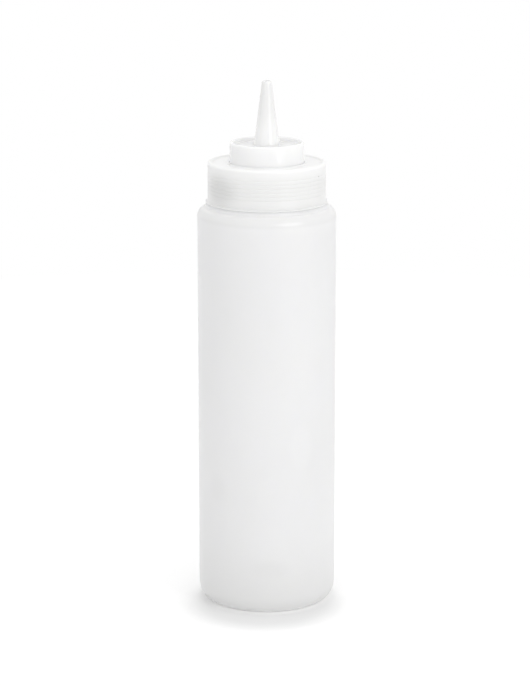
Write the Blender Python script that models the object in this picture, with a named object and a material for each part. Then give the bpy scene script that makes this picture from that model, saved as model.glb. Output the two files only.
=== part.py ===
"""Squeeze sauce bottle: a blown bottle, a spouted nozzle seated on its neck, and a screw ring."""

import math

import bmesh
import bpy

# Body of the bottle
BODY_DIAMETER = 0.0770
BODY_WALL = 0.0012
SHOULDER_HEIGHT = 0.2251
SHOULDER_DROP = 0.0050
SHOULDER_LEDGE = 0.0003
SHOULDER_WALL = 0.0018
SHOULDER_INNER_ROUNDING = 0.0032
BAND_HEIGHT = 0.0024
BAND_EDGE = 0.0004

# Base of the bottle
BASE_ROUNDING_WIDTH = 0.0065
BASE_ROUNDING_HEIGHT = 0.0095
BASE_WALL = 0.0018
STANDING_WIDTH = 0.0050
PUSH_UP_HEIGHT = 0.0042

# Neck of the bottle
NECK_WALL = 0.0023
NECK_EDGE = 0.0005

# Screw ring
RING_DIAMETER = 0.0654
RING_HEIGHT = 0.0226
SKIRT_WALL = 0.00135
SKIRT_MOUTH_EDGE = 0.0004
PLATE_THICKNESS = 0.0016
RIM_RAISE = 0.0008
RIM_WIDTH = 0.0024
RIM_INNER_SLOPE = 0.0007
RIM_ROUNDING = 0.0014
HOLE_BEAD_WIDTH = 0.0012
HOLE_BEAD_HEIGHT = 0.0005
LIP_FLARE = 0.0012
LIP_FLARE_HEIGHT = 0.0014
LIP_EDGE_HEIGHT = 0.0005

# Fine rings round the skirt
GRIP_RING_COUNT = 6
GRIP_RING_PITCH = 0.00218
GRIP_RING_FIRST_HEIGHT = 0.0056
GRIP_RING_WIDTH = 0.0006
GRIP_RING_DEPTH = 0.00015

# Nozzle
COLLAR_DIAMETER = 0.0410
COLLAR_HEIGHT = 0.0108
COLLAR_WALL = 0.0018
COLLAR_RIM_ROUNDING = 0.0008
DISH_DEPTH = 0.0022
DISH_FLOOR_THICKNESS = 0.0014
FLANGE_THICKNESS = 0.0015
SPIGOT_DEPTH = 0.0026
SPIGOT_WALL = 0.0012
SPIGOT_LEAD_IN = 0.0004
SPOUT_HEIGHT = 0.0357
SPOUT_BASE_DIAMETER = 0.0142
SPOUT_TIP_DIAMETER = 0.0055
SPOUT_FOOT_FILLET = 0.0009
SPOUT_TIP_ROUNDING = 0.0006
SPOUT_BORE_BASE_DIAMETER = 0.0114
SPOUT_HOLE_DIAMETER = 0.0026

# Thread shared by the neck and the ring
THREAD_PITCH = 0.00423
THREAD_HEIGHT = 0.00125
THREAD_ROOT_WIDTH = 0.0024
THREAD_CREST_WIDTH = 0.0012
THREAD_BELOW_RIM = 0.0020
THREAD_SINK = 0.0004
NECK_THREAD_TURNS = 1.5
RING_THREAD_TURNS = 1.5
RING_THREAD_LAG_TURNS = 0.4
THREAD_FADE_TURNS = 0.12

# Clearances
SEAT_GAP = 0.0003
LIP_GAP = 0.0003
HOLE_CLEARANCE = 0.00035
SPIGOT_CLEARANCE = 0.0003
THREAD_CLEARANCE = 0.00035
THREAD_FLANK_GAP = 0.0003

# Fineness of the round forms
BOTTLE_SEGMENTS = 64
RING_SEGMENTS = 64
NOZZLE_SEGMENTS = 56
FINE_ARC_STEPS = 5
COARSE_ARC_STEPS = 3
EDGE_ARC_STEPS = 2
MERGE_DISTANCE = 0.000001

QUARTER_TURN = math.pi / 2
HALF_TURN = math.pi
FULL_TURN = 2 * math.pi

# Radii worked inward from the ring's skirt to the bore of the neck
RING_RADIUS = RING_DIAMETER / 2
LIP_RADIUS = RING_RADIUS + LIP_FLARE
SKIRT_INNER_RADIUS = RING_RADIUS - SKIRT_WALL
NECK_THREAD_RADIUS = SKIRT_INNER_RADIUS - THREAD_CLEARANCE
NECK_RADIUS = NECK_THREAD_RADIUS - THREAD_HEIGHT
RING_THREAD_RADIUS = NECK_RADIUS + THREAD_CLEARANCE
BORE_RADIUS = NECK_RADIUS - NECK_WALL
BAND_RADIUS = LIP_RADIUS
BODY_RADIUS = BODY_DIAMETER / 2
COLLAR_RADIUS = COLLAR_DIAMETER / 2
HOLE_RADIUS = COLLAR_RADIUS + HOLE_CLEARANCE

# Heights: the ring's lip sits just above the band, the neck ends below the ring's plate
BAND_TOP = SHOULDER_HEIGHT + BAND_HEIGHT
RING_SEAT_HEIGHT = BAND_TOP + LIP_GAP
PLATE_TOP = RING_HEIGHT - RIM_RAISE
PLATE_UNDERSIDE = PLATE_TOP - PLATE_THICKNESS
NOZZLE_SEAT_HEIGHT = RING_SEAT_HEIGHT + PLATE_UNDERSIDE - SEAT_GAP - FLANGE_THICKNESS
NECK_TOP = NOZZLE_SEAT_HEIGHT - SEAT_GAP
COLLAR_TOP = FLANGE_THICKNESS + SEAT_GAP + PLATE_THICKNESS + RIM_RAISE + COLLAR_HEIGHT
DISH_FLOOR = COLLAR_TOP - DISH_DEPTH
SPOUT_TIP = DISH_FLOOR + SPOUT_HEIGHT
NECK_THREAD_TOP = NECK_TOP - THREAD_BELOW_RIM


def clear_scene():
    """Remove whatever the file opens with."""
    for item in list(bpy.data.objects):
        bpy.data.objects.remove(item, do_unlink=True)


def plastic(name, colour, roughness):
    """A plain moulded plastic."""
    material = bpy.data.materials.new(name)
    material.use_nodes = True
    shader = material.node_tree.nodes["Principled BSDF"]
    shader.inputs["Base Color"].default_value = (*colour, 1.0)
    shader.inputs["Roughness"].default_value = roughness
    shader.inputs["Metallic"].default_value = 0.0
    return material


def milky_bottle_plastic():
    """Soft, milky, slightly matt plastic of the squeezable bottle."""
    return plastic("milky_bottle_plastic", (0.86, 0.86, 0.85), 0.38)


def white_ring_plastic():
    """White plastic of the screw ring."""
    return plastic("white_ring_plastic", (0.88, 0.88, 0.87), 0.34)


def pale_nozzle_plastic():
    """Paler, thinner plastic of the nozzle."""
    return plastic("pale_nozzle_plastic", (0.92, 0.92, 0.91), 0.3)


def arc(centre, radii, start, end, steps):
    """Points of a quarter or half ellipse, as (radius, height) pairs."""
    points = []
    for step in range(steps + 1):
        angle = start + (end - start) * step / steps
        radius = centre[0] + radii[0] * math.cos(angle)
        height = centre[1] + radii[1] * math.sin(angle)
        points.append((radius, height))
    return points


def dome(foot_radius, foot_height, rise, steps):
    """Points of a shallow dome, from its centre on the axis out to its foot."""
    points = []
    for step in range(steps + 1):
        share = step / steps
        height = foot_height + rise * (1 - share * share)
        points.append((foot_radius * share, height))
    return points


def object_from_bmesh(name, shape):
    """Turn a finished bmesh into a smooth-shaded object of the scene."""
    bmesh.ops.recalc_face_normals(shape, faces=shape.faces)
    mesh = bpy.data.meshes.new(name)
    shape.to_mesh(mesh)
    shape.free()
    mesh.shade_smooth()
    mesh.set_sharp_from_angle(angle=math.radians(35))
    item = bpy.data.objects.new(name, mesh)
    bpy.context.scene.collection.objects.link(item)
    return item


def revolve(name, outline, segments, closed):
    """Turn an outline of (radius, height) points about the vertical axis."""
    shape = bmesh.new()
    points = [shape.verts.new((radius, 0.0, height)) for radius, height in outline]
    edges = [shape.edges.new(pair) for pair in zip(points, points[1:])]
    if closed:
        edges.append(shape.edges.new((points[-1], points[0])))
    bmesh.ops.spin(
        shape,
        geom=points + edges,
        cent=(0.0, 0.0, 0.0),
        axis=(0.0, 0.0, 1.0),
        angle=FULL_TURN,
        steps=segments,
        use_merge=True,
    )
    bmesh.ops.remove_doubles(shape, verts=shape.verts, dist=MERGE_DISTANCE)
    return object_from_bmesh(name, shape)


def thread_section(wall_radius, outward, share, height):
    """Four corners of the ridge where it has risen to a share of its full height."""
    sunk_radius = wall_radius - outward * THREAD_SINK
    buried_depth = THREAD_SINK / 2
    crest_radius = wall_radius + outward * (share * (THREAD_HEIGHT + buried_depth) - buried_depth)
    flank_slope = (THREAD_ROOT_WIDTH - THREAD_CREST_WIDTH) / (2 * THREAD_HEIGHT)
    sunk_half = THREAD_ROOT_WIDTH / 2 + flank_slope * THREAD_SINK
    crest_half = sunk_half - flank_slope * abs(crest_radius - sunk_radius)
    return [
        (sunk_radius, height - sunk_half),
        (crest_radius, height - crest_half),
        (crest_radius, height + crest_half),
        (sunk_radius, height + sunk_half),
    ]


def thread_ridge(name, wall_radius, outward, first_turn, turns, top_height, segments):
    """A right-handed helical ridge, sunk into its wall and faded out at both ends."""
    shape = bmesh.new()
    steps = round(turns * segments)
    sections = []
    for step in range(steps + 1):
        travelled = step / segments
        to_nearest_end = min(travelled, (steps - step) / segments)
        share = min(1.0, to_nearest_end / THREAD_FADE_TURNS)
        turn = first_turn + travelled
        angle = -FULL_TURN * (turn + 0.5 / segments)
        height = top_height - THREAD_PITCH * turn
        corners = []
        for radius, level in thread_section(wall_radius, outward, share, height):
            place = (radius * math.cos(angle), radius * math.sin(angle), level)
            corners.append(shape.verts.new(place))
        sections.append(corners)
    for upper, lower in zip(sections, sections[1:]):
        for corner in range(4):
            following = (corner + 1) % 4
            shape.faces.new((upper[corner], upper[following], lower[following], lower[corner]))
    shape.faces.new(sections[0])
    shape.faces.new(sections[-1])
    ridge = object_from_bmesh(name, shape)
    ridge.hide_render = True
    ridge.display_type = "WIRE"
    return ridge


def fuse(item, addition):
    """Mould an addition onto a piece."""
    union = item.modifiers.new(addition.name, "BOOLEAN")
    union.operation = "UNION"
    union.solver = "EXACT"
    union.object = addition


def bottle_outer_outline():
    """Outside of the bottle, from the middle of its base up to the edge of its rim."""
    standing_radius = BODY_RADIUS - BASE_ROUNDING_WIDTH
    rounding_width = BODY_RADIUS - BAND_RADIUS - SHOULDER_LEDGE
    outline = dome(standing_radius - STANDING_WIDTH, 0.0, PUSH_UP_HEIGHT, COARSE_ARC_STEPS)
    outline += arc(
        (standing_radius, BASE_ROUNDING_HEIGHT),
        (BASE_ROUNDING_WIDTH, BASE_ROUNDING_HEIGHT),
        -QUARTER_TURN,
        0.0,
        FINE_ARC_STEPS,
    )
    outline += arc(
        (BODY_RADIUS - rounding_width, SHOULDER_HEIGHT - SHOULDER_DROP),
        (rounding_width, SHOULDER_DROP),
        0.0,
        QUARTER_TURN,
        FINE_ARC_STEPS,
    )
    outline += [
        (BAND_RADIUS, SHOULDER_HEIGHT),
        (BAND_RADIUS, BAND_TOP - BAND_EDGE),
        (BAND_RADIUS - BAND_EDGE, BAND_TOP),
        (NECK_RADIUS, BAND_TOP),
    ]
    outline += arc(
        (NECK_RADIUS - NECK_EDGE, NECK_TOP - NECK_EDGE),
        (NECK_EDGE, NECK_EDGE),
        0.0,
        QUARTER_TURN,
        EDGE_ARC_STEPS,
    )
    return outline


def bottle_inner_outline():
    """Inside of the bottle, from the edge of its rim down to the middle of its floor."""
    inner_radius = BODY_RADIUS - BODY_WALL
    standing_radius = BODY_RADIUS - BASE_ROUNDING_WIDTH
    ceiling = SHOULDER_HEIGHT - SHOULDER_WALL
    outline = arc(
        (BORE_RADIUS + NECK_EDGE, NECK_TOP - NECK_EDGE),
        (NECK_EDGE, NECK_EDGE),
        QUARTER_TURN,
        HALF_TURN,
        EDGE_ARC_STEPS,
    )
    outline.append((BORE_RADIUS, ceiling))
    outline += arc(
        (inner_radius - SHOULDER_INNER_ROUNDING, ceiling - SHOULDER_INNER_ROUNDING),
        (SHOULDER_INNER_ROUNDING, SHOULDER_INNER_ROUNDING),
        QUARTER_TURN,
        0.0,
        COARSE_ARC_STEPS,
    )
    outline += arc(
        (standing_radius, BASE_ROUNDING_HEIGHT),
        (BASE_ROUNDING_WIDTH - BODY_WALL, BASE_ROUNDING_HEIGHT - BASE_WALL),
        0.0,
        -QUARTER_TURN,
        COARSE_ARC_STEPS,
    )
    floor = dome(standing_radius - STANDING_WIDTH, BASE_WALL, PUSH_UP_HEIGHT, COARSE_ARC_STEPS)
    outline += reversed(floor)
    return outline


def make_bottle():
    """The blown bottle with its threaded neck."""
    outline = bottle_outer_outline() + bottle_inner_outline()
    bottle = revolve("bottle", outline, BOTTLE_SEGMENTS, closed=False)
    ridge = thread_ridge(
        "neck_thread_guide",
        NECK_RADIUS,
        1,
        0.0,
        NECK_THREAD_TURNS,
        NECK_THREAD_TOP,
        BOTTLE_SEGMENTS,
    )
    fuse(bottle, ridge)
    bottle.data.materials.append(milky_bottle_plastic())
    return bottle


def nozzle_outer_outline():
    """Outside of the nozzle, from the tip of its spout down to the end of its spigot."""
    tip_radius = SPOUT_TIP_DIAMETER / 2
    foot_radius = SPOUT_BASE_DIAMETER / 2
    rim_inner_radius = COLLAR_RADIUS - COLLAR_WALL
    flange_radius = NECK_RADIUS
    spigot_radius = BORE_RADIUS - SPIGOT_CLEARANCE
    outline = arc(
        (tip_radius - SPOUT_TIP_ROUNDING, SPOUT_TIP - SPOUT_TIP_ROUNDING),
        (SPOUT_TIP_ROUNDING, SPOUT_TIP_ROUNDING),
        QUARTER_TURN,
        0.0,
        EDGE_ARC_STEPS,
    )
    outline += arc(
        (foot_radius + SPOUT_FOOT_FILLET, DISH_FLOOR + SPOUT_FOOT_FILLET),
        (SPOUT_FOOT_FILLET, SPOUT_FOOT_FILLET),
        HALF_TURN,
        HALF_TURN + QUARTER_TURN,
        COARSE_ARC_STEPS,
    )
    outline.append((rim_inner_radius, DISH_FLOOR))
    outline += arc(
        (rim_inner_radius + COLLAR_RIM_ROUNDING, COLLAR_TOP - COLLAR_RIM_ROUNDING),
        (COLLAR_RIM_ROUNDING, COLLAR_RIM_ROUNDING),
        HALF_TURN,
        QUARTER_TURN,
        COARSE_ARC_STEPS,
    )
    outline += arc(
        (COLLAR_RADIUS - COLLAR_RIM_ROUNDING, COLLAR_TOP - COLLAR_RIM_ROUNDING),
        (COLLAR_RIM_ROUNDING, COLLAR_RIM_ROUNDING),
        QUARTER_TURN,
        0.0,
        COARSE_ARC_STEPS,
    )
    outline += [
        (COLLAR_RADIUS, FLANGE_THICKNESS),
        (flange_radius, FLANGE_THICKNESS),
        (flange_radius, 0.0),
        (spigot_radius, 0.0),
        (spigot_radius, SPIGOT_LEAD_IN - SPIGOT_DEPTH),
        (spigot_radius - SPIGOT_LEAD_IN, -SPIGOT_DEPTH),
    ]
    return outline


def nozzle_inner_outline():
    """Inside of the nozzle, from its spigot up to the hole in the tip of its spout."""
    spigot_inner_radius = BORE_RADIUS - SPIGOT_CLEARANCE - SPIGOT_WALL
    collar_inner_radius = COLLAR_RADIUS - COLLAR_WALL
    floor_underside = DISH_FLOOR - DISH_FLOOR_THICKNESS
    bore_base_radius = SPOUT_BORE_BASE_DIAMETER / 2
    hole_radius = SPOUT_HOLE_DIAMETER / 2
    outline = [
        (spigot_inner_radius, -SPIGOT_DEPTH),
        (spigot_inner_radius, 0.0),
        (collar_inner_radius, 0.0),
    ]
    outline += arc(
        (collar_inner_radius - SPOUT_FOOT_FILLET, floor_underside - SPOUT_FOOT_FILLET),
        (SPOUT_FOOT_FILLET, SPOUT_FOOT_FILLET),
        0.0,
        QUARTER_TURN,
        EDGE_ARC_STEPS,
    )
    outline += [
        (bore_base_radius, floor_underside),
        (hole_radius, SPOUT_TIP),
    ]
    return outline


def make_nozzle(bottle):
    """The nozzle: flange and spigot on the neck, collar through the ring, tapered spout."""
    outline = nozzle_outer_outline() + nozzle_inner_outline()
    nozzle = revolve("nozzle", outline, NOZZLE_SEGMENTS, closed=True)
    nozzle.parent = bottle
    nozzle.location = (0.0, 0.0, NOZZLE_SEAT_HEIGHT)
    nozzle.data.materials.append(pale_nozzle_plastic())
    return nozzle


def grip_rings():
    """The skirt's fine rings as shallow vees, from the top one down."""
    outline = []
    for ring in reversed(range(GRIP_RING_COUNT)):
        middle = GRIP_RING_FIRST_HEIGHT + ring * GRIP_RING_PITCH
        outline += [
            (RING_RADIUS, middle + GRIP_RING_WIDTH / 2),
            (RING_RADIUS - GRIP_RING_DEPTH, middle),
            (RING_RADIUS, middle - GRIP_RING_WIDTH / 2),
        ]
    return outline


def ring_outer_outline():
    """Outside of the screw ring, from the bead round its hole to the edge of its lip."""
    bead_middle = HOLE_RADIUS + HOLE_BEAD_WIDTH / 2
    rim_inner_radius = RING_RADIUS - RIM_WIDTH
    outline = arc(
        (bead_middle, PLATE_TOP),
        (HOLE_BEAD_WIDTH / 2, HOLE_BEAD_HEIGHT),
        HALF_TURN,
        0.0,
        COARSE_ARC_STEPS,
    )
    outline += [
        (rim_inner_radius, PLATE_TOP),
        (rim_inner_radius + RIM_INNER_SLOPE, RING_HEIGHT),
    ]
    outline += arc(
        (RING_RADIUS - RIM_ROUNDING, RING_HEIGHT - RIM_ROUNDING),
        (RIM_ROUNDING, RIM_ROUNDING),
        QUARTER_TURN,
        0.0,
        COARSE_ARC_STEPS,
    )
    outline += grip_rings()
    outline += arc(
        (LIP_RADIUS, LIP_EDGE_HEIGHT + LIP_FLARE_HEIGHT),
        (LIP_FLARE, LIP_FLARE_HEIGHT),
        HALF_TURN,
        HALF_TURN + QUARTER_TURN,
        COARSE_ARC_STEPS,
    )
    outline.append((LIP_RADIUS, 0.0))
    return outline


def ring_inner_outline():
    """Inside of the screw ring, from its mouth up to the hole in its plate."""
    return [
        (SKIRT_INNER_RADIUS + SKIRT_MOUTH_EDGE, 0.0),
        (SKIRT_INNER_RADIUS, SKIRT_MOUTH_EDGE),
        (SKIRT_INNER_RADIUS, PLATE_UNDERSIDE),
        (HOLE_RADIUS, PLATE_UNDERSIDE),
    ]


def make_screw_ring(nozzle):
    """The screw ring, whose thread sits just under the neck's."""
    outline = ring_outer_outline() + ring_inner_outline()
    ring = revolve("screw_ring", outline, RING_SEGMENTS, closed=True)
    ridge = thread_ridge(
        "ring_thread_guide",
        SKIRT_INNER_RADIUS,
        -1,
        RING_THREAD_LAG_TURNS,
        RING_THREAD_TURNS,
        NECK_THREAD_TOP - RING_SEAT_HEIGHT - thread_drop(),
        RING_SEGMENTS,
    )
    ridge.parent = ring
    fuse(ring, ridge)
    ring.parent = nozzle
    ring.location = (0.0, 0.0, RING_SEAT_HEIGHT - NOZZLE_SEAT_HEIGHT)
    ring.data.materials.append(white_ring_plastic())
    return ring


def thread_drop():
    """How far the ring's ridge lies below the neck's when its flank bears on it."""
    flank_slope = (THREAD_ROOT_WIDTH - THREAD_CREST_WIDTH) / (2 * THREAD_HEIGHT)
    wall_to_wall = SKIRT_INNER_RADIUS - NECK_RADIUS
    return THREAD_ROOT_WIDTH - flank_slope * wall_to_wall + THREAD_FLANK_GAP


def main():
    """Build the bottle and what closes it."""
    clear_scene()
    bottle = make_bottle()
    nozzle = make_nozzle(bottle)
    make_screw_ring(nozzle)


main()
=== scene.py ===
"""Looks of the squeeze sauce bottle: moulded pieces, milky plastics and studio light."""
import math

import bmesh
import bpy
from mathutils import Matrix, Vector, noise


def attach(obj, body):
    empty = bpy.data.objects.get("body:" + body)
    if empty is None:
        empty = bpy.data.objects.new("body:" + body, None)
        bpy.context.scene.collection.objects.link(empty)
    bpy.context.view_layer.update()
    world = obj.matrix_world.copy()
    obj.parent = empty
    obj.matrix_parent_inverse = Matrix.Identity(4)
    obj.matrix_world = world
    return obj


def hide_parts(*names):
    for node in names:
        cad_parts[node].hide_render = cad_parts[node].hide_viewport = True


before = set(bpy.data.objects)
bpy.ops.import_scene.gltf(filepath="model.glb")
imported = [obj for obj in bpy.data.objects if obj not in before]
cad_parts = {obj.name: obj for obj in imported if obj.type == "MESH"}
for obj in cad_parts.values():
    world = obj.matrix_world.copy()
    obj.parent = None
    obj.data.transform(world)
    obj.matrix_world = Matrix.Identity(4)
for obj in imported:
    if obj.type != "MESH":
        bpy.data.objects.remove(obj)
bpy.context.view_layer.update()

QUARTER_TURN = math.pi / 2
HALF_TURN = math.pi
FULL_TURN = 2 * math.pi
MILLIMETRE = 0.001

# Lengths are in metres. Those of the bottle, the nozzle, the screw ring and the thread
# are the solids' own.

# Bottle
BODY_RADIUS = 0.0385
BODY_WALL = 0.0012
SHOULDER_HEIGHT = 0.2251
SHOULDER_DROP = 0.0050
SHOULDER_WIDTH = 0.0043
SHOULDER_WALL = 0.0018
SHOULDER_INNER_ROUNDING = 0.0032
BAND_RADIUS = 0.0339
BAND_TOP = 0.2275
BASE_ROUNDING_WIDTH = 0.0065
BASE_ROUNDING_HEIGHT = 0.0095
BASE_WALL = 0.0018
STANDING_RADIUS = 0.0320
PUSH_UP_RADIUS = 0.0270
PUSH_UP_HEIGHT = 0.0042
NECK_RADIUS = 0.02975
NECK_TOP = 0.2459
NECK_EDGE = 0.0005
BORE_RADIUS = 0.02745

# Nozzle
FLANGE_UNDERSIDE = 0.2462
FLANGE_TOP = 0.2477
COLLAR_RADIUS = 0.0205
COLLAR_WALL = 0.0018
COLLAR_TOP = 0.2612
COLLAR_RIM_ROUNDING = 0.0008
DISH_FLOOR = 0.2590
DISH_FLOOR_THICKNESS = 0.0014
SPIGOT_RADIUS = 0.02715
SPIGOT_WALL = 0.0012
SPIGOT_DEPTH = 0.0026
SPIGOT_LEAD_IN = 0.0004
SPOUT_TOP = 0.2947
SPOUT_FOOT_RADIUS = 0.0071
SPOUT_TIP_RADIUS = 0.00275
SPOUT_FOOT_FILLET = 0.0009
SPOUT_TIP_ROUNDING = 0.0006
SPOUT_BORE_FOOT_RADIUS = 0.0057
SPOUT_HOLE_RADIUS = 0.0013

# Screw ring
RING_FOOT = 0.2278
RING_TOP = 0.2504
RING_RADIUS = 0.0327
RING_INNER_RADIUS = 0.03135
MOUTH_EDGE = 0.0004
PLATE_TOP = 0.2496
PLATE_UNDERSIDE = 0.2480
HOLE_RADIUS = 0.02085
HOLE_BEAD_WIDTH = 0.0012
HOLE_BEAD_HEIGHT = 0.0005
RIM_WIDTH = 0.0024
RIM_INNER_SLOPE = 0.0007
RIM_ROUNDING = 0.0014
LIP_RADIUS = 0.0339
LIP_FLARE = 0.0012
LIP_FLARE_HEIGHT = 0.0014
LIP_EDGE_HEIGHT = 0.0005
GRIP_RING_COUNT = 6
GRIP_RING_PITCH = 0.00218
GRIP_RING_FIRST = 0.0056
GRIP_RING_WIDTH = 0.0006

# Thread. It starts half a segment of the solids along.
SOLID_SEGMENTS = 64
THREAD_PITCH = 0.00423
THREAD_HEIGHT = 0.00125
THREAD_ROOT_WIDTH = 0.0024
THREAD_CREST_WIDTH = 0.0012
THREAD_TURNS = 1.5
THREAD_FADE_TURNS = 0.12
THREAD_PHASE_TURNS = 0.5 / SOLID_SEGMENTS
NECK_THREAD_TOP = 0.2439
RING_THREAD_LAG_TURNS = 0.4
RING_THREAD_DROP = 0.001932

# Small forms that the solids leave out or have a little differently
BAND_EDGE = 0.00006
BAND_FOOT_FILLET = 0.0009
DISH_CORNER = 0.0012
COLLAR_FLARE_REACH = 0.00034
COLLAR_FLARE_HEIGHT = 0.0010
COLLAR_FLARE_FOOT = 0.2499
HOLE_EDGE_RISE = 0.0003
LIP_EDGE_ROUNDING = 0.00004
LIP_EDGE_DROP = 0.00028
GRIP_RING_DEPTH = 0.00011

# Marks that moulding leaves
PARTING_HEIGHT = 0.00005
PARTING_HALF_WIDTH = 0.0004
PINCH_OFF_HEIGHT = 0.0003
PINCH_OFF_HALF_WIDTH = 0.0005
PINCH_OFF_HALF_LENGTH = 0.0215
PINCH_OFF_FADE_START = 0.019
PUSH_UP_STEP_RADIUS = 0.0165
PUSH_UP_STEP_DEPTH = 0.0003
PUSH_UP_STEP_WIDTH = 0.0008

# Waviness of the blown wall: depth, scale, and the heights over which it comes and goes.
# The waves are longer up the wall than round it, and the turn parts the inner from the outer.
WAVE_STRETCH = 0.45
OUTER_WAVE_DEPTH = 0.00007
OUTER_WAVE_SCALE = 38.0
OUTER_WAVE_FOOT = BASE_ROUNDING_HEIGHT / 4
OUTER_WAVES_COME = (0.003, 0.02)
OUTER_WAVES_GO = (0.208, 0.2235)
INNER_WAVE_DEPTH = 0.00022
INNER_WAVE_SCALE = 26.0
INNER_WAVE_TURN = 1.3
INNER_WAVES_COME = (0.014, 0.03)
INNER_WAVES_GO = (0.205, 0.219)
INNER_WAVE_TOP = SHOULDER_HEIGHT - SHOULDER_WALL - SHOULDER_INNER_ROUNDING

# How far a radius may be from a wall's own to count as on it
INNER_WALL_MARGIN = MILLIMETRE / 10
THREAD_WALL_MARGIN = MILLIMETRE / 100

# Fineness of the meshes
EVEN_SEGMENTS = 240
SEAM_OFFSETS_DEG = (0.2, 0.4, 0.7, 1.0)
THREAD_ROW = 0.00022
WALL_ROW = 0.0050
BASE_ROW = 0.0008
PLATE_ROW = 0.0008
INNER_BASE_EVERY = 3
ARC_STEPS = 12
SMALL_ARC_STEPS = 6
EDGE_ARC_STEPS = 3
GRIP_RING_HALF_STEPS = 4
THREAD_TURNS_TRIED = 4
SHARP_ANGLE_DEG = 50

# Soft spots of the bottle's wall, most of them painted light and shade: middle, half sizes,
# strength and colour
WALL_SPOTS_AND_PAINTED_LIGHT = (
    # Darker towards the base.
    ((0.0, 0.0, -0.020), (0.12, 0.12, 0.088), 0.9, (0.745, 0.745, 0.74)),
    # Painted shadow: the back foot's contact shadow, seen through the wall, as a dark smudge low
    # on the front.
    ((0.002, -0.0384, 0.026), (0.016, 0.012, 0.009), 0.5, (0.82, 0.82, 0.815)),
    # A darker spot low on the front left of the body.
    ((-0.0275, -0.0270, 0.0705), (0.010, 0.012, 0.013), 0.4, (0.86, 0.86, 0.855)),
    # Painted highlight: a soft bright spot on the front right of the body.
    ((0.0188, -0.0336, 0.096), (0.010, 0.012, 0.020), 0.55, (0.99, 0.99, 0.985)),
    # Painted shade over the shoulder's upward-facing band.
    ((0.0, 0.0, 0.2225), (1.0, 1.0, 0.0045), 0.9, (0.85, 0.85, 0.845)),
    # Painted highlight along the crease at the band's foot.
    ((0.0, 0.0, 0.2257), (1.0, 1.0, 0.0018), 1.0, (0.98, 0.98, 0.975)),
    # Painted highlight: a lamp's reflection as a pale streak on the shoulder's front right.
    ((0.0131, -0.0360, 0.2217), (0.014, 0.008, 0.0016), 0.6, (0.99, 0.99, 0.985)),
    # Painted light at the foot, paler round the floor contact, for the light that the milky base
    # lets through.
    ((0.012, -0.012, -0.0005), (0.060, 0.060, 0.0035), 1.0, (0.97, 0.97, 0.965)),
)

# Darker tone of the upper spout, in the same order
SPOUT_TONE = ((0.0, 0.0, 0.285), (0.014, 0.014, 0.038), 1.0, (0.84, 0.84, 0.835))

# The ring's top and plate made paler as painted light, painted shade on its left side, and a dark
# speck, in the same order
RING_PAINTED_LIGHT_TOP = ((0.0, 0.0, 0.2504), (1.0, 1.0, 0.0105), 0.8, (0.89, 0.89, 0.885))
RING_PAINTED_LIGHT_PLATE = ((0.0, 0.0, 0.2500), (0.045, 0.045, 0.0030), 1.0, (0.99, 0.99, 0.985))
# Painted shade on the ring's left side, where the light falls least.
RING_PAINTED_SHADE_SIDE = ((-0.0265, -0.0192, 0.2370), (0.020, 0.020, 0.013), 0.7, (0.67, 0.67, 0.665))
SPECK_AZIMUTH = math.radians(60)
SPECK_HEIGHT = 0.2445
SPECK_PLACE = (
    RING_RADIUS * math.sin(SPECK_AZIMUTH),
    -RING_RADIUS * math.cos(SPECK_AZIMUTH),
    SPECK_HEIGHT,
)
RING_SPECK = (SPECK_PLACE, (0.0006, 0.0006, 0.0006), 0.8, (0.30, 0.30, 0.29))

# Plastics: the clouds' two colours, roughness, clear share, depth of the soft light and spots,
# most of them painted light and shade
BOTTLE_PLASTIC = {
    "pale": (0.93, 0.93, 0.925),
    "dim": (0.91, 0.91, 0.905),
    "roughness": 0.34,
    "clear": 0.06,
    "depth": 0.0015,
    "spots": WALL_SPOTS_AND_PAINTED_LIGHT,
}
NOZZLE_PLASTIC = {
    "pale": (0.97, 0.97, 0.965),
    "dim": (0.955, 0.955, 0.95),
    "roughness": 0.17,
    "clear": 0.04,
    "depth": 0.0012,
    "spots": (SPOUT_TONE,),
}
RING_PLASTIC = {
    "pale": (0.83, 0.83, 0.825),
    "dim": (0.81, 0.81, 0.805),
    "roughness": 0.34,
    "clear": 0.0,
    "depth": 0.001,
    "spots": (RING_PAINTED_LIGHT_TOP, RING_PAINTED_LIGHT_PLATE, RING_PAINTED_SHADE_SIDE, RING_SPECK),
}
PLASTIC_IOR = 1.5
SUBSURFACE_RADIUS = (1.0, 1.0, 0.96)
SPOT_SOFTNESS = 0.9

# Noises: stretch along the axes, scale, detail and roughness
CLOUDS = ((1.0, 1.0, 0.6), 30.0, 3.0, 0.5)
GLOSS_PATCHES = ((1.0, 1.0, 1.0), 85.0, 4.0, 0.6)
FLOW_LINES = ((1.0, 1.0, 0.02), 260.0, 2.0, 0.5)
GRAIN = ((1.0, 1.0, 1.0), 2400.0, 2.0, 0.5)
NOISE_LOW = 0.3
NOISE_HIGH = 0.7

# How far the roughness goes below and above its own number, and the bumps' strength and distance
GLOSSIER = 0.05
DULLER = 0.06
FLOW_BUMP = (0.06, 0.0002)
GRAIN_BUMP = (0.05, 0.0001)

# Sockets of the mix node when it mixes colours
MIX_SHARE = 0
MIX_BELOW = 6
MIX_ABOVE = 7
MIX_RESULT = 2

# Floor. The glow at the foot stands for the light that the milky wall lets through, and the
# far lift turns the floor white farther out.
FLOOR_RADIUS = 0.9
FLOOR_SEGMENTS = 96
FLOOR_COLOUR = (0.86, 0.86, 0.86, 1.0)
FOOT_GLOW = 0.16
FOOT_GLOW_CENTRE = (0.0005, -0.0015, 0.0)
FOOT_GLOW_START = 0.0325
FOOT_GLOW_END = 0.0385
FAR_LIFT = 0.20
FAR_LIFT_CENTRE = (-0.001, -0.020, 0.0)
FAR_LIFT_START = 0.030
FAR_LIFT_END = 0.052

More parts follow.
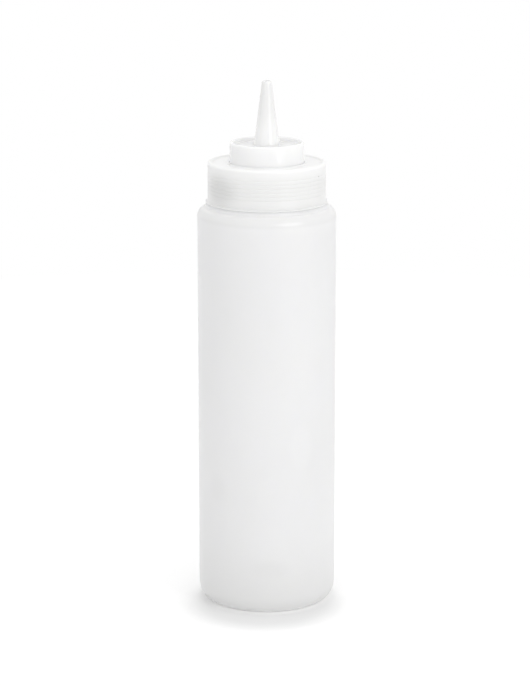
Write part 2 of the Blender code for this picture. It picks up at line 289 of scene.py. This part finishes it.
# Light: strength of the world, and the lamps by name, azimuth to the right of the camera's side,
# elevation, width, height and power
WHITE = (1.0, 1.0, 1.0, 1.0)
WORLD_STRENGTH = 0.88
LAMP_TARGET = (0.0, 0.0, 0.15)
LAMP_DISTANCE = 1.30
LAMPS = (
    ("front_box", -4.0, 24.0, 1.4, 1.0, 1.6),
    ("side_box", 42.0, 15.6, 0.5, 0.95, 1.2),
    ("upright_strip", 36.0, 10.0, 0.04, 0.45, 1.3),
    ("top_soft_box", 165.0, 77.0, 0.9, 0.9, 1.5),
)

# Camera, fitted to the photo's outline of the bottle
CAMERA_PLACE = (-0.0010, -1.387, 0.479)
CAMERA_PITCH_DEG = 76.55
SENSOR = 36.0
FOCAL_LENGTH = 133.56
CLIP_START = 0.05
CLIP_END = 50.0


def arc(centre, radii, start, end, steps):
    """Points of part of an ellipse, as (radius, height) pairs."""
    points = []
    for step in range(steps + 1):
        angle = start + (end - start) * step / steps
        radius = centre[0] + radii[0] * math.cos(angle)
        height = centre[1] + radii[1] * math.sin(angle)
        points.append((radius, height))
    return points


def rows(start, end, spacing):
    """Evenly spaced points of a straight stretch, its ends left out."""
    length = math.dist(start, end)
    count = max(1, round(length / spacing))
    points = []
    for step in range(1, count):
        share = step / count
        radius = start[0] + (end[0] - start[0]) * share
        height = start[1] + (end[1] - start[1]) * share
        points.append((radius, height))
    return points


def bump(distance, half_width):
    """Smooth hill: 1 in the middle, 0 from half_width on."""
    share = min(1.0, abs(distance) / half_width)
    return (1 - share * share) ** 2


def ramp(value, start, end):
    """Smooth step from 0 at start to 1 at end."""
    share = min(1.0, max(0.0, (value - start) / (end - start)))
    return share * share * (3 - 2 * share)


def angles():
    """Angles of the segments, closer together at the two parting lines."""
    marks = [FULL_TURN * step / EVEN_SEGMENTS for step in range(EVEN_SEGMENTS)]
    for seam in (0.0, HALF_TURN):
        for offset in SEAM_OFFSETS_DEG:
            marks += [seam + math.radians(offset), seam - math.radians(offset)]
    return sorted(mark % FULL_TURN for mark in marks)


def revolve(name, outline, relief, closed):
    """Turn an outline of (radius, height) points about the axis, with relief moving each point."""
    shape = bmesh.new()
    turns = angles()
    bands = []
    for radius, height in outline:
        if radius == 0.0:
            bands.append([shape.verts.new(relief(0.0, 0.0, height))])
        else:
            bands.append([shape.verts.new(relief(radius, turn, height)) for turn in turns])
    pairs = list(zip(bands, bands[1:]))
    if closed:
        pairs.append((bands[-1], bands[0]))
    for one, other in pairs:
        for step in range(len(turns)):
            following = (step + 1) % len(turns)
            corners = [one[step % len(one)], one[following % len(one)]]
            corners += [other[following % len(other)], other[step % len(other)]]
            shape.faces.new(list(dict.fromkeys(corners)))
    bmesh.ops.recalc_face_normals(shape, faces=shape.faces)
    mesh = bpy.data.meshes.new(name)
    shape.to_mesh(mesh)
    shape.free()
    mesh.shade_smooth()
    mesh.set_sharp_from_angle(angle=math.radians(SHARP_ANGLE_DEG))
    item = bpy.data.objects.new(name, mesh)
    bpy.context.scene.collection.objects.link(item)
    return item


def place_at(radius, angle, height):
    """A point at this radius, angle and height."""
    return (radius * math.cos(angle), radius * math.sin(angle), height)


def thread_rise(angle, height, top_height, first_turn):
    """Share of its full height that the helical ridge has risen to at this place."""
    crest_half, root_half = THREAD_CREST_WIDTH / 2, THREAD_ROOT_WIDTH / 2
    best = 0.0
    start = (-angle / FULL_TURN - THREAD_PHASE_TURNS) % 1.0
    for whole in range(THREAD_TURNS_TRIED):
        turn = start + whole
        travelled = turn - first_turn
        if not 0.0 <= travelled <= THREAD_TURNS:
            continue
        faded = ramp(min(travelled, THREAD_TURNS - travelled), 0.0, THREAD_FADE_TURNS)
        offset = abs(height - (top_height - THREAD_PITCH * turn))
        slope = min(1.0, max(0.0, (root_half - offset) / (root_half - crest_half)))
        best = max(best, faded * slope)
    return best


def parting_rise(radius, angle):
    """Height of the fine line where the two mould halves met."""
    distance = min(abs(math.sin(angle)) * radius, radius)
    return PARTING_HEIGHT * bump(distance, PARTING_HALF_WIDTH)


def waviness(radius, angle, height, scale):
    """A soft, slow waviness from 0 to 1, as blown walls have."""
    place = Vector(place_at(radius, angle, height * WAVE_STRETCH))
    return 0.5 + 0.5 * noise.noise(place * scale)


def dome_height(radius):
    """Height of the push-up's underside at this radius."""
    share = radius / PUSH_UP_RADIUS
    return PUSH_UP_HEIGHT * (1 - share * share)


def outer_wall_rise(radius, angle, height):
    """How far the outer wall stands out, by its parting lines and its waviness."""
    span = ramp(height, *OUTER_WAVES_COME) * (1 - ramp(height, *OUTER_WAVES_GO))
    wave = OUTER_WAVE_DEPTH * waviness(radius, angle, height, OUTER_WAVE_SCALE)
    lowered = wave + PARTING_HEIGHT
    return span * (parting_rise(radius, angle) - lowered)


def inner_wall_rise(radius, angle, height):
    """How much thicker the uneven wall is inside."""
    span = ramp(height, *INNER_WAVES_COME) * (1 - ramp(height, *INNER_WAVES_GO))
    wave = waviness(radius, angle + INNER_WAVE_TURN, height, INNER_WAVE_SCALE)
    return span * INNER_WAVE_DEPTH * (wave - 0.5)


def push_up_drop(radius, angle):
    """How far the push-up's underside drops, at its pinch-off line and its step."""
    along, across = radius * math.cos(angle), radius * math.sin(angle)
    fade = 1 - ramp(abs(along), PINCH_OFF_FADE_START, PINCH_OFF_HALF_LENGTH)
    line = bump(across, PINCH_OFF_HALF_WIDTH) * fade
    step = bump(radius - PUSH_UP_STEP_RADIUS, PUSH_UP_STEP_WIDTH)
    return PINCH_OFF_HEIGHT * line - PUSH_UP_STEP_DEPTH * step


def bottle_relief(radius, angle, height):
    """Thread, parting lines, pinch-off and the slight waviness of the bottle."""
    inside = radius <= BODY_RADIUS - BODY_WALL + INNER_WALL_MARGIN
    if not inside and OUTER_WAVE_FOOT < height < SHOULDER_HEIGHT:
        radius += outer_wall_rise(radius, angle, height)
    elif height < PUSH_UP_HEIGHT + BASE_WALL / 2 and radius < PUSH_UP_RADIUS:
        if height < dome_height(radius) + BASE_WALL / 2:
            height -= push_up_drop(radius, angle)
    elif inside and INNER_WAVES_COME[0] < height < INNER_WAVE_TOP:
        radius -= inner_wall_rise(radius, angle, height)
    elif abs(radius - NECK_RADIUS) < THREAD_WALL_MARGIN and height > BAND_TOP:
        radius += THREAD_HEIGHT * thread_rise(angle, height, NECK_THREAD_TOP, 0.0)
    return place_at(radius, angle, height)


def bottle_outline():
    """Outside of the bottle from the middle of its base to the rim, then down its inside."""
    inner_radius = BODY_RADIUS - BODY_WALL
    ceiling = SHOULDER_HEIGHT - SHOULDER_WALL
    neck_foot = BAND_TOP + 2 * THREAD_ROW

    # Base
    base_radii = [BASE_ROW * step for step in range(round(PUSH_UP_RADIUS / BASE_ROW))]
    outline = [(radius, dome_height(radius)) for radius in base_radii]
    outline += [(PUSH_UP_RADIUS, 0.0)]
    outline += rows((PUSH_UP_RADIUS, 0.0), (STANDING_RADIUS, 0.0), 2 * BASE_ROW)
    rounding_radii = (BASE_ROUNDING_WIDTH, BASE_ROUNDING_HEIGHT)
    rounding_centre = (STANDING_RADIUS, BASE_ROUNDING_HEIGHT)
    outline += arc(rounding_centre, rounding_radii, -QUARTER_TURN, 0.0, ARC_STEPS)

    # Body, shoulder and band
    shoulder_foot = (BODY_RADIUS, SHOULDER_HEIGHT - SHOULDER_DROP)
    outline += rows((BODY_RADIUS, BASE_ROUNDING_HEIGHT), shoulder_foot, WALL_ROW)
    shoulder_centre = (BODY_RADIUS - SHOULDER_WIDTH, SHOULDER_HEIGHT - SHOULDER_DROP)
    fillet_reach = BAND_RADIUS + BAND_FOOT_FILLET - shoulder_centre[0]
    shoulder_end = math.acos(fillet_reach / SHOULDER_WIDTH)
    shoulder = (SHOULDER_WIDTH, SHOULDER_DROP)
    outline += arc(shoulder_centre, shoulder, 0.0, shoulder_end, ARC_STEPS)
    fillet_centre = (BAND_RADIUS + BAND_FOOT_FILLET, SHOULDER_HEIGHT + BAND_FOOT_FILLET)
    fillet = (BAND_FOOT_FILLET, BAND_FOOT_FILLET)
    outline += arc(fillet_centre, fillet, -QUARTER_TURN, -HALF_TURN, SMALL_ARC_STEPS)
    edge_centre = (BAND_RADIUS - BAND_EDGE, BAND_TOP - BAND_EDGE)
    outline += arc(edge_centre, (BAND_EDGE, BAND_EDGE), 0.0, QUARTER_TURN, SMALL_ARC_STEPS)

    # Neck and its bore
    outline += [(NECK_RADIUS + 2 * THREAD_ROW, BAND_TOP), (NECK_RADIUS, neck_foot)]
    outline += rows((NECK_RADIUS, neck_foot), (NECK_RADIUS, NECK_TOP - NECK_EDGE), THREAD_ROW)
    edge = (NECK_EDGE, NECK_EDGE)
    outer_centre = (NECK_RADIUS - NECK_EDGE, NECK_TOP - NECK_EDGE)
    outline += arc(outer_centre, edge, 0.0, QUARTER_TURN, SMALL_ARC_STEPS)
    bore_centre = (BORE_RADIUS + NECK_EDGE, NECK_TOP - NECK_EDGE)
    outline += arc(bore_centre, edge, QUARTER_TURN, HALF_TURN, SMALL_ARC_STEPS)
    outline += [(BORE_RADIUS, ceiling)]

    # Inside
    inner_rounding = (SHOULDER_INNER_ROUNDING, SHOULDER_INNER_ROUNDING)
    inner_centre = (inner_radius - SHOULDER_INNER_ROUNDING, ceiling - SHOULDER_INNER_ROUNDING)
    outline += arc(inner_centre, inner_rounding, QUARTER_TURN, 0.0, SMALL_ARC_STEPS)
    wall_top, wall_foot = (inner_radius, inner_centre[1]), (inner_radius, BASE_ROUNDING_HEIGHT)
    outline += rows(wall_top, wall_foot, WALL_ROW)
    inner_radii = (BASE_ROUNDING_WIDTH - BODY_WALL, BASE_ROUNDING_HEIGHT - BASE_WALL)
    outline += arc(rounding_centre, inner_radii, 0.0, -QUARTER_TURN, SMALL_ARC_STEPS)
    outline += [(PUSH_UP_RADIUS, BASE_WALL)]
    inner_base_radii = reversed(base_radii[::INNER_BASE_EVERY])
    outline += [(radius, dome_height(radius) + BASE_WALL) for radius in inner_base_radii]
    return outline


def nozzle_outline():
    """Outside of the nozzle from its tip down to its spigot, then up its inside."""
    rim_inner = COLLAR_RADIUS - COLLAR_WALL

    # Spout
    tip = (SPOUT_TIP_ROUNDING, SPOUT_TIP_ROUNDING)
    tip_centre = (SPOUT_TIP_RADIUS - SPOUT_TIP_ROUNDING, SPOUT_TOP - SPOUT_TIP_ROUNDING)
    outline = arc(tip_centre, tip, QUARTER_TURN, 0.0, SMALL_ARC_STEPS)
    foot = (SPOUT_FOOT_FILLET, SPOUT_FOOT_FILLET)
    foot_centre = (SPOUT_FOOT_RADIUS + SPOUT_FOOT_FILLET, DISH_FLOOR + SPOUT_FOOT_FILLET)
    outline += rows(outline[-1], (SPOUT_FOOT_RADIUS, foot_centre[1]), WALL_ROW)
    outline += arc(foot_centre, foot, HALF_TURN, HALF_TURN + QUARTER_TURN, SMALL_ARC_STEPS)

    # Dish and collar
    corner = (DISH_CORNER, DISH_CORNER)
    corner_centre = (rim_inner - DISH_CORNER, DISH_FLOOR + DISH_CORNER)
    outline += arc(corner_centre, corner, -QUARTER_TURN, 0.0, SMALL_ARC_STEPS)
    rim = (COLLAR_RIM_ROUNDING, COLLAR_RIM_ROUNDING)
    rim_height = COLLAR_TOP - COLLAR_RIM_ROUNDING
    inner_rim_centre = (rim_inner + COLLAR_RIM_ROUNDING, rim_height)
    outline += arc(inner_rim_centre, rim, HALF_TURN, QUARTER_TURN, SMALL_ARC_STEPS)
    outer_rim_centre = (COLLAR_RADIUS - COLLAR_RIM_ROUNDING, rim_height)
    outline += arc(outer_rim_centre, rim, QUARTER_TURN, 0.0, SMALL_ARC_STEPS)
    flare_radius = COLLAR_RADIUS + COLLAR_FLARE_REACH
    flare_centre = (flare_radius, COLLAR_FLARE_FOOT + COLLAR_FLARE_HEIGHT)
    flare = (COLLAR_FLARE_REACH, COLLAR_FLARE_HEIGHT)
    outline += arc(flare_centre, flare, HALF_TURN, HALF_TURN + QUARTER_TURN, SMALL_ARC_STEPS)

    # Flange and spigot
    spigot_foot = FLANGE_UNDERSIDE - SPIGOT_DEPTH
    outline += [
        (flare_radius, PLATE_UNDERSIDE),
        (COLLAR_RADIUS, FLANGE_TOP),
        (NECK_RADIUS, FLANGE_TOP),
        (NECK_RADIUS, FLANGE_UNDERSIDE),
        (SPIGOT_RADIUS, FLANGE_UNDERSIDE),
        (SPIGOT_RADIUS, spigot_foot + SPIGOT_LEAD_IN),
        (SPIGOT_RADIUS - SPIGOT_LEAD_IN, spigot_foot),
        (SPIGOT_RADIUS - SPIGOT_WALL, spigot_foot),
        (SPIGOT_RADIUS - SPIGOT_WALL, FLANGE_UNDERSIDE),
        (rim_inner, FLANGE_UNDERSIDE),
    ]

    # Hollow of the collar and bore of the spout
    underside = DISH_FLOOR - DISH_FLOOR_THICKNESS
    inner_centre = (rim_inner - SPOUT_FOOT_FILLET, underside - SPOUT_FOOT_FILLET)
    outline += arc(inner_centre, foot, 0.0, QUARTER_TURN, SMALL_ARC_STEPS)
    outline += [(SPOUT_BORE_FOOT_RADIUS, underside), (SPOUT_HOLE_RADIUS, SPOUT_TOP)]
    return outline


def ring_relief(radius, angle, height):
    """Thread inside the ring."""
    if abs(radius - RING_INNER_RADIUS) < THREAD_WALL_MARGIN:
        top = NECK_THREAD_TOP - RING_THREAD_DROP
        radius -= THREAD_HEIGHT * thread_rise(angle, height, top, RING_THREAD_LAG_TURNS)
    return place_at(radius, angle, height)


def grip_grooves():
    """Outline of the skirt's fine grooves, from the top one down."""
    outline = []
    half_width = GRIP_RING_WIDTH / 2
    for ring in reversed(range(GRIP_RING_COUNT)):
        middle = RING_FOOT + GRIP_RING_FIRST + ring * GRIP_RING_PITCH
        for step in range(-GRIP_RING_HALF_STEPS, GRIP_RING_HALF_STEPS + 1):
            offset = -step / GRIP_RING_HALF_STEPS * half_width
            depth = GRIP_RING_DEPTH * bump(offset, half_width)
            outline.append((RING_RADIUS - depth, middle + offset))
    return outline


def ring_outline():
    """Outside of the ring from the bead round its hole to its lip, then up its inside."""
    # Bead, plate and rim
    bead_middle = HOLE_RADIUS + HOLE_BEAD_WIDTH / 2
    bead = (HOLE_BEAD_WIDTH / 2, HOLE_BEAD_HEIGHT)
    bead_start = HALF_TURN - math.asin(HOLE_EDGE_RISE / HOLE_BEAD_HEIGHT)
    outline = [(HOLE_RADIUS, PLATE_TOP + HOLE_EDGE_RISE)]
    outline += arc((bead_middle, PLATE_TOP), bead, bead_start, 0.0, ARC_STEPS)
    rim_foot = (RING_RADIUS - RIM_WIDTH, PLATE_TOP)
    outline += rows(outline[-1], rim_foot, PLATE_ROW) + [rim_foot]
    outline += [(RING_RADIUS - RIM_WIDTH + RIM_INNER_SLOPE, RING_TOP)]
    rim = (RIM_ROUNDING, RIM_ROUNDING)
    rim_centre = (RING_RADIUS - RIM_ROUNDING, RING_TOP - RIM_ROUNDING)
    outline += arc(rim_centre, rim, QUARTER_TURN, 0.0, ARC_STEPS)

    # Skirt and lip
    outline += grip_grooves()
    flare_centre = (LIP_RADIUS, RING_FOOT + LIP_EDGE_HEIGHT + LIP_FLARE_HEIGHT)
    flare = (LIP_FLARE, LIP_FLARE_HEIGHT)
    outline += arc(flare_centre, flare, HALF_TURN, HALF_TURN + QUARTER_TURN, ARC_STEPS)
    edge = (LIP_EDGE_ROUNDING, LIP_EDGE_ROUNDING)
    edge_height = RING_FOOT - LIP_EDGE_DROP + LIP_EDGE_ROUNDING
    edge_centre = (LIP_RADIUS - LIP_EDGE_ROUNDING, edge_height)
    outline += arc(edge_centre, edge, 0.0, -QUARTER_TURN, EDGE_ARC_STEPS)

    # Inside
    mouth = (RING_INNER_RADIUS, RING_FOOT + MOUTH_EDGE)
    outline += [(RING_INNER_RADIUS + MOUTH_EDGE, RING_FOOT), mouth]
    outline += rows(mouth, (RING_INNER_RADIUS, PLATE_UNDERSIDE), THREAD_ROW)
    outline += [(RING_INNER_RADIUS, PLATE_UNDERSIDE), (HOLE_RADIUS, PLATE_UNDERSIDE)]
    return outline


def node(tree, kind, inputs=None, **settings):
    """A shader node with these settings and input values."""
    made = tree.nodes.new(kind)
    for name, value in settings.items():
        setattr(made, name, value)
    for name, value in (inputs or {}).items():
        made.inputs[name].default_value = value
    return made


def noise_field(tree, stretch, scale, detail, roughness):
    """Noise over the piece's own coordinates, stretched along its axes."""
    coordinates = node(tree, "ShaderNodeTexCoord")
    mapping = node(tree, "ShaderNodeMapping", {"Scale": stretch})
    values = {"Scale": scale, "Detail": detail, "Roughness": roughness}
    field = node(tree, "ShaderNodeTexNoise", values)
    tree.links.new(coordinates.outputs["Object"], mapping.inputs["Vector"])
    tree.links.new(mapping.outputs["Vector"], field.inputs["Vector"])
    return field.outputs["Fac"]


def spread(tree, value, low, high):
    """The noise's middle range, spread from low to high."""
    limits = {"From Min": NOISE_LOW, "From Max": NOISE_HIGH, "To Min": low, "To Max": high}
    mapped = node(tree, "ShaderNodeMapRange", limits)
    tree.links.new(value, mapped.inputs["Value"])
    return mapped.outputs["Result"]


def blotch(tree, centre, size):
    """A soft spot at one place of the piece, 1 in its middle and 0 outside."""
    coordinates = node(tree, "ShaderNodeTexCoord")
    place = {"Location": centre, "Scale": size}
    mapping = node(tree, "ShaderNodeMapping", place, vector_type="TEXTURE")
    length = node(tree, "ShaderNodeVectorMath", operation="LENGTH")
    limits = {"From Min": 1.0 - SPOT_SOFTNESS, "From Max": 1.0, "To Min": 1.0, "To Max": 0.0}
    mapped = node(tree, "ShaderNodeMapRange", limits, interpolation_type="SMOOTHERSTEP")
    tree.links.new(coordinates.outputs["Object"], mapping.inputs["Vector"])
    tree.links.new(mapping.outputs["Vector"], length.inputs[0])
    tree.links.new(length.outputs["Value"], mapped.inputs["Value"])
    return mapped.outputs["Result"]


def tinted(tree, share, below, above):
    """A colour between two by this share; below may be a colour or a socket."""
    mix = node(tree, "ShaderNodeMix", data_type="RGBA")
    tree.links.new(share, mix.inputs[MIX_SHARE])
    if isinstance(below, tuple):
        mix.inputs[MIX_BELOW].default_value = (*below, 1.0)
    else:
        tree.links.new(below, mix.inputs[MIX_BELOW])
    mix.inputs[MIX_ABOVE].default_value = (*above, 1.0)
    return mix.outputs[MIX_RESULT]


def spotted(tree, colour, spot):
    """The colour with one soft spot over it."""
    centre, size, strength, spot_colour = spot
    soft = blotch(tree, centre, size)
    weaker = node(tree, "ShaderNodeMath", {1: strength}, operation="MULTIPLY")
    tree.links.new(soft, weaker.inputs[0])
    return tinted(tree, weaker.outputs[0], colour, spot_colour)


def bumped(tree, height, strength, distance, before=None):
    """A bump, on top of the one before if there is one."""
    made = node(tree, "ShaderNodeBump", {"Strength": strength, "Distance": distance})
    tree.links.new(height, made.inputs["Height"])
    if before is not None:
        tree.links.new(before, made.inputs["Normal"])
    return made.outputs["Normal"]


def milky_plastic(name, pale, dim, roughness, clear, depth, spots):
    """Milky plastic: clouded colour, uneven gloss, flow lines, a fine grain and soft spots, most
    of them painted light and shade.
    """
    material = bpy.data.materials.new(name)
    material.use_nodes = True
    tree = material.node_tree
    shader = tree.nodes["Principled BSDF"]
    clouds = noise_field(tree, *CLOUDS)
    colour = tinted(tree, spread(tree, clouds, 0.0, 1.0), dim, pale)
    for spot in spots:
        colour = spotted(tree, colour, spot)
    tree.links.new(colour, shader.inputs["Base Color"])
    patches = noise_field(tree, *GLOSS_PATCHES)
    gloss = spread(tree, patches, roughness - GLOSSIER, roughness + DULLER)
    tree.links.new(gloss, shader.inputs["Roughness"])
    flow = noise_field(tree, *FLOW_LINES)
    grain = noise_field(tree, *GRAIN)
    normal = bumped(tree, flow, *FLOW_BUMP)
    normal = bumped(tree, grain, *GRAIN_BUMP, before=normal)
    tree.links.new(normal, shader.inputs["Normal"])
    shader.inputs["IOR"].default_value = PLASTIC_IOR
    shader.inputs["Subsurface Weight"].default_value = 1.0
    shader.inputs["Subsurface Radius"].default_value = SUBSURFACE_RADIUS
    shader.inputs["Subsurface Scale"].default_value = depth
    shader.inputs["Transmission Weight"].default_value = clear
    return material


def build_pieces():
    """The three moulded pieces, each in the place of its solid."""
    bottle = revolve("blown_bottle", bottle_outline(), bottle_relief, closed=False)
    bottle.data.materials.append(milky_plastic("milky_bottle_plastic", **BOTTLE_PLASTIC))
    nozzle = revolve("spouted_nozzle", nozzle_outline(), place_at, closed=True)
    nozzle.data.materials.append(milky_plastic("pale_nozzle_plastic", **NOZZLE_PLASTIC))
    ring = revolve("threaded_ring", ring_outline(), ring_relief, closed=True)
    ring.data.materials.append(milky_plastic("white_ring_plastic", **RING_PLASTIC))
    for piece, body, cad_node, slot in (
        (bottle, "bottle", "bottle", "bottle_plastic"),
        (nozzle, "nozzle", "nozzle", "nozzle_plastic"),
        (ring, "ring", "screw_ring", "ring_plastic"),
    ):
        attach(piece, body)
        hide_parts(cad_node)


def ringed(tree, centre, start, end, inside, outside):
    """A value that turns softly from inside to outside between two rings on the floor."""
    coordinates = node(tree, "ShaderNodeTexCoord")
    shift = node(tree, "ShaderNodeVectorMath", {1: centre}, operation="SUBTRACT")
    length = node(tree, "ShaderNodeVectorMath", operation="LENGTH")
    limits = {"From Min": start, "From Max": end, "To Min": inside, "To Max": outside}
    mapped = node(tree, "ShaderNodeMapRange", limits, interpolation_type="SMOOTHSTEP")
    tree.links.new(coordinates.outputs["Object"], shift.inputs[0])
    tree.links.new(shift.outputs["Vector"], length.inputs[0])
    tree.links.new(length.outputs["Value"], mapped.inputs["Value"])
    return mapped.outputs["Result"]


def seen_share(tree):
    """1 for rays from the camera or by a gloss or a clear wall, 0 for those that light things."""
    path = node(tree, "ShaderNodeLightPath")
    gloss = node(tree, "ShaderNodeMath", operation="MAXIMUM")
    seen = node(tree, "ShaderNodeMath", operation="MAXIMUM")
    tree.links.new(path.outputs["Is Camera Ray"], gloss.inputs[0])
    tree.links.new(path.outputs["Is Glossy Ray"], gloss.inputs[1])
    tree.links.new(gloss.outputs[0], seen.inputs[0])
    tree.links.new(path.outputs["Is Transmission Ray"], seen.inputs[1])
    return seen.outputs[0]


def floor_material():
    """White floor with a faint glow at the foot, lifted farther out for rays that are seen."""
    material = bpy.data.materials.new("white_floor")
    material.use_nodes = True
    tree = material.node_tree
    tree.nodes.clear()
    diffuse = node(tree, "ShaderNodeBsdfDiffuse", {"Color": FLOOR_COLOUR})
    glow = node(tree, "ShaderNodeEmission", {"Color": WHITE})
    foot = ringed(tree, FOOT_GLOW_CENTRE, FOOT_GLOW_START, FOOT_GLOW_END, FOOT_GLOW, 0.0)
    far = ringed(tree, FAR_LIFT_CENTRE, FAR_LIFT_START, FAR_LIFT_END, 0.0, FAR_LIFT)
    both = node(tree, "ShaderNodeMath", operation="ADD")
    lift = node(tree, "ShaderNodeMath", operation="MULTIPLY")
    added = node(tree, "ShaderNodeAddShader")
    output = node(tree, "ShaderNodeOutputMaterial")
    tree.links.new(far, lift.inputs[0])
    tree.links.new(seen_share(tree), lift.inputs[1])
    tree.links.new(foot, both.inputs[0])
    tree.links.new(lift.outputs[0], both.inputs[1])
    tree.links.new(both.outputs[0], glow.inputs["Strength"])
    tree.links.new(diffuse.outputs[0], added.inputs[0])
    tree.links.new(glow.outputs[0], added.inputs[1])
    tree.links.new(added.outputs[0], output.inputs["Surface"])
    return material


def build_floor():
    """A plain white floor that keeps the bottle's shadow."""
    shape = bmesh.new()
    bmesh.ops.create_circle(shape, cap_ends=True, segments=FLOOR_SEGMENTS, radius=FLOOR_RADIUS)
    mesh = bpy.data.meshes.new("floor")
    shape.to_mesh(mesh)
    shape.free()
    floor = bpy.data.objects.new("floor", mesh)
    bpy.context.scene.collection.objects.link(floor)
    mesh.materials.append(floor_material())


def build_world():
    """Soft light from all round, seen as white."""
    world = bpy.data.worlds.new("studio")
    bpy.context.scene.world = world
    world.use_nodes = True
    tree = world.node_tree
    tree.nodes.clear()
    background = node(tree, "ShaderNodeBackground", {"Color": WHITE})
    output = node(tree, "ShaderNodeOutputWorld")
    strength = node(tree, "ShaderNodeMapRange", {"To Min": WORLD_STRENGTH, "To Max": 1.0})
    tree.links.new(seen_share(tree), strength.inputs["Value"])
    tree.links.new(strength.outputs["Result"], background.inputs["Strength"])
    tree.links.new(background.outputs[0], output.inputs["Surface"])


def soft_box(name, azimuth_deg, elevation_deg, width, height, power):
    """An area lamp that faces the bottle; azimuth is to the right of the camera's side."""
    azimuth, elevation = math.radians(azimuth_deg), math.radians(elevation_deg)
    way = Vector((
        math.sin(azimuth) * math.cos(elevation),
        -math.cos(azimuth) * math.cos(elevation),
        math.sin(elevation),
    ))
    light = bpy.data.lights.new(name, "AREA")
    light.shape = "RECTANGLE"
    light.size, light.size_y = width, height
    light.energy = power
    lamp = bpy.data.objects.new(name, light)
    lamp.location = Vector(LAMP_TARGET) + way * LAMP_DISTANCE
    lamp.rotation_euler = way.to_track_quat("Z", "Y").to_euler()
    bpy.context.scene.collection.objects.link(lamp)


def build_lights():
    """A wide box in front, a box and a narrow strip to the right, and a box above and behind."""
    for lamp in LAMPS:
        soft_box(*lamp)


def build_camera():
    """The camera at the photograph's viewing angle."""
    data = bpy.data.cameras.new("camera")
    data.sensor_fit = "AUTO"
    data.sensor_width = SENSOR
    data.lens = FOCAL_LENGTH
    data.clip_start = CLIP_START
    data.clip_end = CLIP_END
    camera = bpy.data.objects.new("camera", data)
    camera.location = CAMERA_PLACE
    camera.rotation_euler = (math.radians(CAMERA_PITCH_DEG), 0.0, 0.0)
    bpy.context.scene.collection.objects.link(camera)
    bpy.context.scene.camera = camera


build_camera()
build_world()
build_lights()
build_floor()
build_pieces()
bpy.context.scene.view_settings.view_transform = "Standard"
